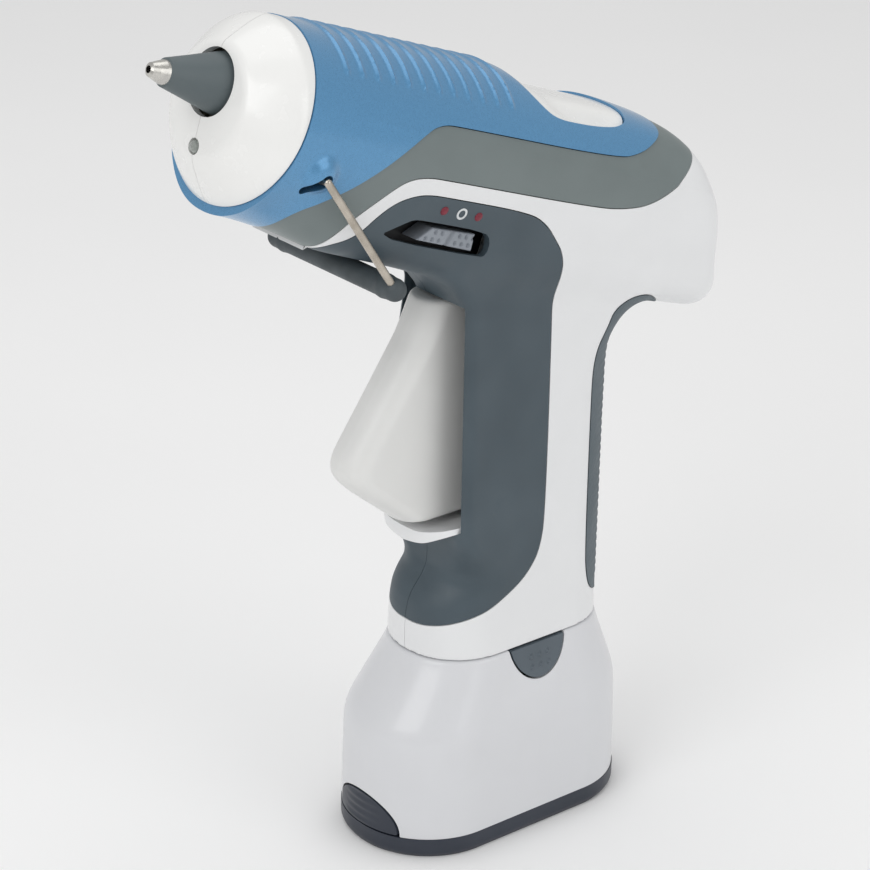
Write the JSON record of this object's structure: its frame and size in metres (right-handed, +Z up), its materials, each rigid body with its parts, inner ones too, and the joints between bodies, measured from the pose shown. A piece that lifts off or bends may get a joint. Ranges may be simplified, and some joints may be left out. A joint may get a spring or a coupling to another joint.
{
  "type": "cordless glue gun",
  "caption": "Cordless pistol-grip glue gun: pitched barrel with ribbed cover and nozzle, long trigger, slide switch, folding wire stand and slide-off battery base.",
  "frame": {"origin": "centre of the battery base's bottom face", "axes": "+Z up, the nozzle points to -Y and is pitched up by 19.5 degrees, +X is the gun's left side"},
  "size_m": [0.0518, 0.1673, 0.2341],
  "materials": {
    "pearl_white": "pearl gloss",
    "blue_pearl": "metallic pearl",
    "band_grey": "satin",
    "grip_slate": "soft touch",
    "trigger_white": "satin",
    "dark_navy": "satin",
    "sleeve_grey": "silicone",
    "bright_metal": "machined",
    "steel": "drawn",
    "spring_steel": "drawn",
    "natural_plastic": "natural",
    "board_green": "solder mask",
    "black_plastic": "satin",
    "clear_lens": "clear",
    "red_lens": "tinted",
    "cell_wrap": "shrink sleeve",
    "brass": "plated",
    "ceramic": "ceramic"
  },
  "bodies": {
    "housing": {"body_shell_left": "pearl_white", "body_shell_right": "pearl_white", "nose_cap_left": "pearl_white", "nose_cap_right": "pearl_white", "barrel_cover": "blue_pearl", "window_insert": "pearl_white", "trim_band_left": "band_grey", "trim_band_right": "band_grey", "grip_overmould_left": "grip_slate", "grip_overmould_right": "grip_slate", "back_strap": "grip_slate", "trigger_ledge": "pearl_white", "case_screws": "steel", "nozzle_tip": "bright_metal", "nozzle_sleeve": "sleeve_grey", "melt_chamber": "bright_metal", "heater_element": "ceramic", "heater_clamp": "steel", "chamber_mounts": "natural_plastic", "stick_sleeve": "sleeve_grey", "stick_guide_tube": "natural_plastic", "rear_inlet_ring": "black_plastic", "nose_lens": "clear_lens", "lens_board": "board_green", "trigger_pivot_pin": "steel", "trigger_spring": "spring_steel", "spring_stop": "natural_plastic", "feed_return_spring": "spring_steel", "switch_body": "black_plastic", "status_lenses": "red_lens", "control_board": "board_green", "board_components": "black_plastic", "handle_contact_block": "black_plastic", "handle_contacts": "brass"},
    "trigger": {"trigger": "trigger_white"},
    "feed": {"feed_carriage": "natural_plastic", "stick_gripper": "steel"},
    "switch": {"switch_slider": "grip_slate"},
    "stand": {"stand_wire": "steel", "stand_foot": "sleeve_grey"},
    "battery_pack": {"battery_case": "pearl_white", "battery_base_plate": "dark_navy", "battery_cells": "cell_wrap", "cell_links": "steel", "pack_tower": "pearl_white", "pack_contacts": "brass"},
    "release_left": {"release_button_left": "grip_slate"},
    "release_right": {"release_button_right": "grip_slate"},
    "base_latch": {"base_latch_button": "dark_navy"}
  },
  "joints": [
    {"name": "trigger_pull", "type": "hinge", "parent": "housing", "child": "trigger", "pos_m": [0, -0.019, 0.163], "axis": [1, 0, 0], "range_deg": [0, 11], "stiffness_Nm_per_rad": 0.6, "springref_deg": -20.05, "deforming": ["trigger_spring"]},
    {"name": "feed_slide", "type": "slide", "parent": "housing", "child": "feed", "axis": [0, -0.9426, 0.3338], "range_m": [0, 0.0062], "deforming": ["feed_return_spring"]},
    {"name": "switch_slide", "type": "slide", "parent": "housing", "child": "switch", "axis": [0, -0.9426, 0.3338], "range_m": [0, 0.008]},
    {"name": "stand_swing", "type": "hinge", "parent": "housing", "child": "stand", "pos_m": [0, -0.07154, 0.19942], "axis": [-1, 0, 0], "range_deg": [0, 95]},
    {"name": "battery_slide", "type": "slide", "parent": "housing", "child": "battery_pack", "axis": [0, 0, -1], "range_m": [0, 0.04]},
    {"name": "release_left_press", "type": "slide", "parent": "battery_pack", "child": "release_left", "axis": [-1, 0, 0], "range_m": [0, 0.002], "stiffness_N_per_m": 1500, "springref_m": -0.001},
    {"name": "release_right_press", "type": "slide", "parent": "battery_pack", "child": "release_right", "axis": [1, 0, 0], "range_m": [0, 0.002], "stiffness_N_per_m": 1500, "springref_m": -0.001},
    {"name": "base_latch_press", "type": "slide", "parent": "battery_pack", "child": "base_latch", "axis": [0, 1, 0], "range_m": [0, 0.0012], "stiffness_N_per_m": 1500, "springref_m": -0.001}
  ],
  "couplings": [
    {"joint": "feed_slide", "follows": "trigger_pull", "m_per_rad": 0.0314}
  ]
}
